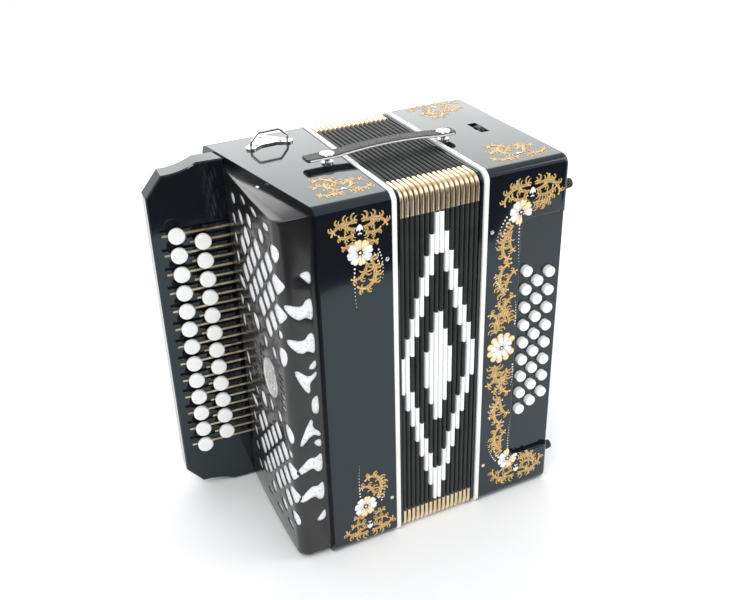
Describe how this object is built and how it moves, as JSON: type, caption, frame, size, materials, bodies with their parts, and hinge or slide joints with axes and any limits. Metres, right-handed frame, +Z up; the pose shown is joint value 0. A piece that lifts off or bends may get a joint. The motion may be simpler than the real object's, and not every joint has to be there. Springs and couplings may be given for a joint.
{
  "type": "button accordion",
  "caption": "Two-row button accordion: lacquered treble and bass boxes, folded bellows, keyed fingerboard, pierced grille and straps",
  "frame": {"origin": "middle of the footprint of the whole closed instrument, on the surface it stands on", "axes": "+X along the bellows from the treble hand to the bass hand, +Y from the front to the back, +Z up"},
  "size_m": [0.346, 0.1977, 0.3542],
  "materials": {
    "black_lacquer": "high-gloss black lacquer over plywood",
    "grille_black": "gloss black moulded cover",
    "white_button": "polished white plastic",
    "bellows_cloth": "black bookcloth over card",
    "black_leather": "grained leather",
    "black_plastic": "satin",
    "black_steel": "blackened, knurled",
    "white_edging": "white celluloid strip",
    "gold_metal": "pale gold plated steel",
    "silver_metal": "nickel plated",
    "lever_metal": "drawn wire, satin",
    "white_tape": "white bellows tape",
    "gold_paint": "gold paint under clear lacquer",
    "white_paint": "white paint under clear lacquer",
    "rubber_feet": "matte",
    "pallet_wood": "plain beech, felt faced"
  },
  "bodies": {
    "treble_half": {"treble_case": "black_lacquer", "treble_grille": "grille_black", "fingerboard": "black_lacquer", "strap_brackets": "silver_metal", "bellows": "bellows_cloth"},
    "bass_half": {"bass_case": "black_lacquer", "hand_strap": "black_leather"},
    "treble_key_01": {"treble_key_01": "white_button"},
    "treble_key_02": {"treble_key_02": "white_button"},
    "treble_key_03": {"treble_key_03": "white_button"},
    "treble_key_04": {"treble_key_04": "white_button"},
    "treble_key_05": {"treble_key_05": "white_button"},
    "treble_key_06": {"treble_key_06": "white_button"},
    "treble_key_07": {"treble_key_07": "white_button"},
    "treble_key_08": {"treble_key_08": "white_button"},
    "treble_key_09": {"treble_key_09": "white_button"},
    "treble_key_10": {"treble_key_10": "white_button"},
    "treble_key_11": {"treble_key_11": "white_button"},
    "treble_key_12": {"treble_key_12": "white_button"},
    "treble_key_13": {"treble_key_13": "white_button"},
    "treble_key_14": {"treble_key_14": "white_button"},
    "treble_key_15": {"treble_key_15": "white_button"},
    "treble_key_16": {"treble_key_16": "white_button"},
    "treble_key_17": {"treble_key_17": "white_button"},
    "treble_key_18": {"treble_key_18": "white_button"},
    "treble_key_19": {"treble_key_19": "white_button"},
    "treble_key_20": {"treble_key_20": "white_button"},
    "treble_key_21": {"treble_key_21": "white_button"},
    "treble_key_22": {"treble_key_22": "white_button"},
    "treble_key_23": {"treble_key_23": "white_button"},
    "treble_key_24": {"treble_key_24": "white_button"},
    "treble_key_25": {"treble_key_25": "white_button"},
    "bass_button_01": {"bass_button_01": "white_button"},
    "bass_button_02": {"bass_button_02": "white_button"},
    "bass_button_03": {"bass_button_03": "white_button"},
    "bass_button_04": {"bass_button_04": "white_button"},
    "bass_button_05": {"bass_button_05": "white_button"},
    "bass_button_06": {"bass_button_06": "white_button"},
    "bass_button_07": {"bass_button_07": "white_button"},
    "bass_button_08": {"bass_button_08": "white_button"},
    "bass_button_09": {"bass_button_09": "white_button"},
    "bass_button_10": {"bass_button_10": "white_button"},
    "bass_button_11": {"bass_button_11": "white_button"},
    "bass_button_12": {"bass_button_12": "white_button"},
    "bass_button_13": {"bass_button_13": "white_button"},
    "bass_button_14": {"bass_button_14": "white_button"},
    "bass_button_15": {"bass_button_15": "white_button"},
    "bass_button_16": {"bass_button_16": "white_button"},
    "bass_button_17": {"bass_button_17": "white_button"},
    "bass_button_18": {"bass_button_18": "white_button"},
    "bass_button_19": {"bass_button_19": "white_button"},
    "bass_button_20": {"bass_button_20": "white_button"},
    "bass_button_21": {"bass_button_21": "white_button"},
    "bass_button_22": {"bass_button_22": "white_button"},
    "bass_button_23": {"bass_button_23": "white_button"},
    "bass_button_24": {"bass_button_24": "white_button"},
    "bass_button_25": {"bass_button_25": "white_button"},
    "bellows_strap": {"bellows_strap": "black_leather"},
    "air_button": {"air_button": "black_plastic"},
    "strap_wheel": {"strap_wheel": "black_steel"}
  },
  "joints": [
    {"name": "bellows_slide", "type": "slide", "parent": "treble_half", "child": "bass_half", "axis": [1, 0, 0], "range_m": [0, 0.28], "deforming": ["bellows"]},
    {"name": "treble_key_01_hinge", "type": "hinge", "parent": "treble_half", "child": "treble_key_01", "pos_m": [-0.09895, 0.0376, 0.17], "axis": [0, 0, -1], "range_deg": [0, 3.5], "stiffness_Nm_per_rad": 0.25, "springref_deg": -5.73},
    {"name": "treble_key_02_hinge", "type": "hinge", "parent": "treble_half", "child": "treble_key_02", "pos_m": [-0.09895, 0.0376, 0.17], "axis": [0, 0, -1], "range_deg": [0, 5.3], "stiffness_Nm_per_rad": 0.25, "springref_deg": -5.73},
    {"name": "treble_key_03_hinge", "type": "hinge", "parent": "treble_half", "child": "treble_key_03", "pos_m": [-0.09895, 0.0376, 0.17], "axis": [0, 0, -1], "range_deg": [0, 3.5], "stiffness_Nm_per_rad": 0.25, "springref_deg": -5.73},
    {"name": "treble_key_04_hinge", "type": "hinge", "parent": "treble_half", "child": "treble_key_04", "pos_m": [-0.09895, 0.0376, 0.17], "axis": [0, 0, -1], "range_deg": [0, 5.3], "stiffness_Nm_per_rad": 0.25, "springref_deg": -5.73},
    {"name": "treble_key_05_hinge", "type": "hinge", "parent": "treble_half", "child": "treble_key_05", "pos_m": [-0.09895, 0.0376, 0.17], "axis": [0, 0, -1], "range_deg": [0, 3.5], "stiffness_Nm_per_rad": 0.25, "springref_deg": -5.73},
    {"name": "treble_key_06_hinge", "type": "hinge", "parent": "treble_half", "child": "treble_key_06", "pos_m": [-0.09895, 0.0376, 0.17], "axis": [0, 0, -1], "range_deg": [0, 5.3], "stiffness_Nm_per_rad": 0.25, "springref_deg": -5.73},
    {"name": "treble_key_07_hinge", "type": "hinge", "parent": "treble_half", "child": "treble_key_07", "pos_m": [-0.09895, 0.0376, 0.17], "axis": [0, 0, -1], "range_deg": [0, 3.5], "stiffness_Nm_per_rad": 0.25, "springref_deg": -5.73},
    {"name": "treble_key_08_hinge", "type": "hinge", "parent": "treble_half", "child": "treble_key_08", "pos_m": [-0.09895, 0.0376, 0.17], "axis": [0, 0, -1], "range_deg": [0, 5.3], "stiffness_Nm_per_rad": 0.25, "springref_deg": -5.73},
    {"name": "treble_key_09_hinge", "type": "hinge", "parent": "treble_half", "child": "treble_key_09", "pos_m": [-0.09895, 0.0376, 0.17], "axis": [0, 0, -1], "range_deg": [0, 3.5], "stiffness_Nm_per_rad": 0.25, "springref_deg": -5.73},
    {"name": "treble_key_10_hinge", "type": "hinge", "parent": "treble_half", "child": "treble_key_10", "pos_m": [-0.09895, 0.0376, 0.17], "axis": [0, 0, -1], "range_deg": [0, 5.3], "stiffness_Nm_per_rad": 0.25, "springref_deg": -5.73},
    {"name": "treble_key_11_hinge", "type": "hinge", "parent": "treble_half", "child": "treble_key_11", "pos_m": [-0.09895, 0.0376, 0.17], "axis": [0, 0, -1], "range_deg": [0, 3.5], "stiffness_Nm_per_rad": 0.25, "springref_deg": -5.73},
    {"name": "treble_key_12_hinge", "type": "hinge", "parent": "treble_half", "child": "treble_key_12", "pos_m": [-0.09895, 0.0376, 0.17], "axis": [0, 0, -1], "range_deg": [0, 5.3], "stiffness_Nm_per_rad": 0.25, "springref_deg": -5.73},
    {"name": "treble_key_13_hinge", "type": "hinge", "parent": "treble_half", "child": "treble_key_13", "pos_m": [-0.09895, 0.0376, 0.17], "axis": [0, 0, -1], "range_deg": [0, 3.5], "stiffness_Nm_per_rad": 0.25, "springref_deg": -5.73},
    {"name": "treble_key_14_hinge", "type": "hinge", "parent": "treble_half", "child": "treble_key_14", "pos_m": [-0.09895, 0.0376, 0.17], "axis": [0, 0, -1], "range_deg": [0, 5.3], "stiffness_Nm_per_rad": 0.25, "springref_deg": -5.73},
    {"name": "treble_key_15_hinge", "type": "hinge", "parent": "treble_half", "child": "treble_key_15", "pos_m": [-0.09895, 0.0376, 0.17], "axis": [0, 0, -1], "range_deg": [0, 3.5], "stiffness_Nm_per_rad": 0.25, "springref_deg": -5.73},
    {"name": "treble_key_16_hinge", "type": "hinge", "parent": "treble_half", "child": "treble_key_16", "pos_m": [-0.09895, 0.0376, 0.17], "axis": [0, 0, -1], "range_deg": [0, 5.3], "stiffness_Nm_per_rad": 0.25, "springref_deg": -5.73},
    {"name": "treble_key_17_hinge", "type": "hinge", "parent": "treble_half", "child": "treble_key_17", "pos_m": [-0.09895, 0.0376, 0.17], "axis": [0, 0, -1], "range_deg": [0, 3.5], "stiffness_Nm_per_rad": 0.25, "springref_deg": -5.73},
    {"name": "treble_key_18_hinge", "type": "hinge", "parent": "treble_half", "child": "treble_key_18", "pos_m": [-0.09895, 0.0376, 0.17], "axis": [0, 0, -1], "range_deg": [0, 5.3], "stiffness_Nm_per_rad": 0.25, "springref_deg": -5.73},
    {"name": "treble_key_19_hinge", "type": "hinge", "parent": "treble_half", "child": "treble_key_19", "pos_m": [-0.09895, 0.0376, 0.17], "axis": [0, 0, -1], "range_deg": [0, 3.5], "stiffness_Nm_per_rad": 0.25, "springref_deg": -5.73},
    {"name": "treble_key_20_hinge", "type": "hinge", "parent": "treble_half", "child": "treble_key_20", "pos_m": [-0.09895, 0.0376, 0.17], "axis": [0, 0, -1], "range_deg": [0, 5.3], "stiffness_Nm_per_rad": 0.25, "springref_deg": -5.73},
    {"name": "treble_key_21_hinge", "type": "hinge", "parent": "treble_half", "child": "treble_key_21", "pos_m": [-0.09895, 0.0376, 0.17], "axis": [0, 0, -1], "range_deg": [0, 3.5], "stiffness_Nm_per_rad": 0.25, "springref_deg": -5.73},
    {"name": "treble_key_22_hinge", "type": "hinge", "parent": "treble_half", "child": "treble_key_22", "pos_m": [-0.09895, 0.0376, 0.17], "axis": [0, 0, -1], "range_deg": [0, 5.3], "stiffness_Nm_per_rad": 0.25, "springref_deg": -5.73},
    {"name": "treble_key_23_hinge", "type": "hinge", "parent": "treble_half", "child": "treble_key_23", "pos_m": [-0.09895, 0.0376, 0.17], "axis": [0, 0, -1], "range_deg": [0, 3.5], "stiffness_Nm_per_rad": 0.25, "springref_deg": -5.73},
    {"name": "treble_key_24_hinge", "type": "hinge", "parent": "treble_half", "child": "treble_key_24", "pos_m": [-0.09895, 0.0376, 0.17], "axis": [0, 0, -1], "range_deg": [0, 5.3], "stiffness_Nm_per_rad": 0.25, "springref_deg": -5.73},
    {"name": "treble_key_25_hinge", "type": "hinge", "parent": "treble_half", "child": "treble_key_25", "pos_m": [-0.09895, 0.0376, 0.17], "axis": [0, 0, -1], "range_deg": [0, 3.5], "stiffness_Nm_per_rad": 0.25, "springref_deg": -5.73},
    {"name": "bass_button_01_slide", "type": "slide", "parent": "bass_half", "child": "bass_button_01", "axis": [0, 1, 0], "range_m": [0, 0.004], "stiffness_N_per_m": 80, "springref_m": -0.006},
    {"name": "bass_button_02_slide", "type": "slide", "parent": "bass_half", "child": "bass_button_02", "axis": [0, 1, 0], "range_m": [0, 0.004], "stiffness_N_per_m": 80, "springref_m": -0.006},
    {"name": "bass_button_03_slide", "type": "slide", "parent": "bass_half", "child": "bass_button_03", "axis": [0, 1, 0], "range_m": [0, 0.004], "stiffness_N_per_m": 80, "springref_m": -0.006},
    {"name": "bass_button_04_slide", "type": "slide", "parent": "bass_half", "child": "bass_button_04", "axis": [0, 1, 0], "range_m": [0, 0.004], "stiffness_N_per_m": 80, "springref_m": -0.006},
    {"name": "bass_button_05_slide", "type": "slide", "parent": "bass_half", "child": "bass_button_05", "axis": [0, 1, 0], "range_m": [0, 0.004], "stiffness_N_per_m": 80, "springref_m": -0.006},
    {"name": "bass_button_06_slide", "type": "slide", "parent": "bass_half", "child": "bass_button_06", "axis": [0, 1, 0], "range_m": [0, 0.004], "stiffness_N_per_m": 80, "springref_m": -0.006},
    {"name": "bass_button_07_slide", "type": "slide", "parent": "bass_half", "child": "bass_button_07", "axis": [0, 1, 0], "range_m": [0, 0.004], "stiffness_N_per_m": 80, "springref_m": -0.006},
    {"name": "bass_button_08_slide", "type": "slide", "parent": "bass_half", "child": "bass_button_08", "axis": [0, 1, 0], "range_m": [0, 0.004], "stiffness_N_per_m": 80, "springref_m": -0.006},
    {"name": "bass_button_09_slide", "type": "slide", "parent": "bass_half", "child": "bass_button_09", "axis": [0, 1, 0], "range_m": [0, 0.004], "stiffness_N_per_m": 80, "springref_m": -0.006},
    {"name": "bass_button_10_slide", "type": "slide", "parent": "bass_half", "child": "bass_button_10", "axis": [0, 1, 0], "range_m": [0, 0.004], "stiffness_N_per_m": 80, "springref_m": -0.006},
    {"name": "bass_button_11_slide", "type": "slide", "parent": "bass_half", "child": "bass_button_11", "axis": [0, 1, 0], "range_m": [0, 0.004], "stiffness_N_per_m": 80, "springref_m": -0.006},
    {"name": "bass_button_12_slide", "type": "slide", "parent": "bass_half", "child": "bass_button_12", "axis": [0, 1, 0], "range_m": [0, 0.004], "stiffness_N_per_m": 80, "springref_m": -0.006},
    {"name": "bass_button_13_slide", "type": "slide", "parent": "bass_half", "child": "bass_button_13", "axis": [0, 1, 0], "range_m": [0, 0.004], "stiffness_N_per_m": 80, "springref_m": -0.006},
    {"name": "bass_button_14_slide", "type": "slide", "parent": "bass_half", "child": "bass_button_14", "axis": [0, 1, 0], "range_m": [0, 0.004], "stiffness_N_per_m": 80, "springref_m": -0.006},
    {"name": "bass_button_15_slide", "type": "slide", "parent": "bass_half", "child": "bass_button_15", "axis": [0, 1, 0], "range_m": [0, 0.004], "stiffness_N_per_m": 80, "springref_m": -0.006},
    {"name": "bass_button_16_slide", "type": "slide", "parent": "bass_half", "child": "bass_button_16", "axis": [0, 1, 0], "range_m": [0, 0.004], "stiffness_N_per_m": 80, "springref_m": -0.006},
    {"name": "bass_button_17_slide", "type": "slide", "parent": "bass_half", "child": "bass_button_17", "axis": [0, 1, 0], "range_m": [0, 0.004], "stiffness_N_per_m": 80, "springref_m": -0.006},
    {"name": "bass_button_18_slide", "type": "slide", "parent": "bass_half", "child": "bass_button_18", "axis": [0, 1, 0], "range_m": [0, 0.004], "stiffness_N_per_m": 80, "springref_m": -0.006},
    {"name": "bass_button_19_slide", "type": "slide", "parent": "bass_half", "child": "bass_button_19", "axis": [0, 1, 0], "range_m": [0, 0.004], "stiffness_N_per_m": 80, "springref_m": -0.006},
    {"name": "bass_button_20_slide", "type": "slide", "parent": "bass_half", "child": "bass_button_20", "axis": [0, 1, 0], "range_m": [0, 0.004], "stiffness_N_per_m": 80, "springref_m": -0.006},
    {"name": "bass_button_21_slide", "type": "slide", "parent": "bass_half", "child": "bass_button_21", "axis": [0, 1, 0], "range_m": [0, 0.004], "stiffness_N_per_m": 80, "springref_m": -0.006},
    {"name": "bass_button_22_slide", "type": "slide", "parent": "bass_half", "child": "bass_button_22", "axis": [0, 1, 0], "range_m": [0, 0.004], "stiffness_N_per_m": 80, "springref_m": -0.006},
    {"name": "bass_button_23_slide", "type": "slide", "parent": "bass_half", "child": "bass_button_23", "axis": [0, 1, 0], "range_m": [0, 0.004], "stiffness_N_per_m": 80, "springref_m": -0.006},
    {"name": "bass_button_24_slide", "type": "slide", "parent": "bass_half", "child": "bass_button_24", "axis": [0, 1, 0], "range_m": [0, 0.004], "stiffness_N_per_m": 80, "springref_m": -0.006},
    {"name": "bass_button_25_slide", "type": "slide", "parent": "bass_half", "child": "bass_button_25", "axis": [0, 1, 0], "range_m": [0, 0.004], "stiffness_N_per_m": 80, "springref_m": -0.006},
    {"name": "bellows_strap_swivel", "type": "hinge", "parent": "bass_half", "child": "bellows_strap", "pos_m": [0.0755, -0.0139, 0.345], "axis": [0, 0, 1], "range_deg": [-75, 75]},
    {"name": "air_button_slide", "type": "slide", "parent": "bass_half", "child": "air_button", "axis": [-1, 0, 0], "range_m": [0, 0.004], "stiffness_N_per_m": 120, "springref_m": -0.004},
    {"name": "strap_wheel_turn", "type": "hinge", "parent": "bass_half", "child": "strap_wheel", "pos_m": [0.118, -0.0024, 0.3292], "axis": [1, 0, 0], "continuous": true}
  ]
}
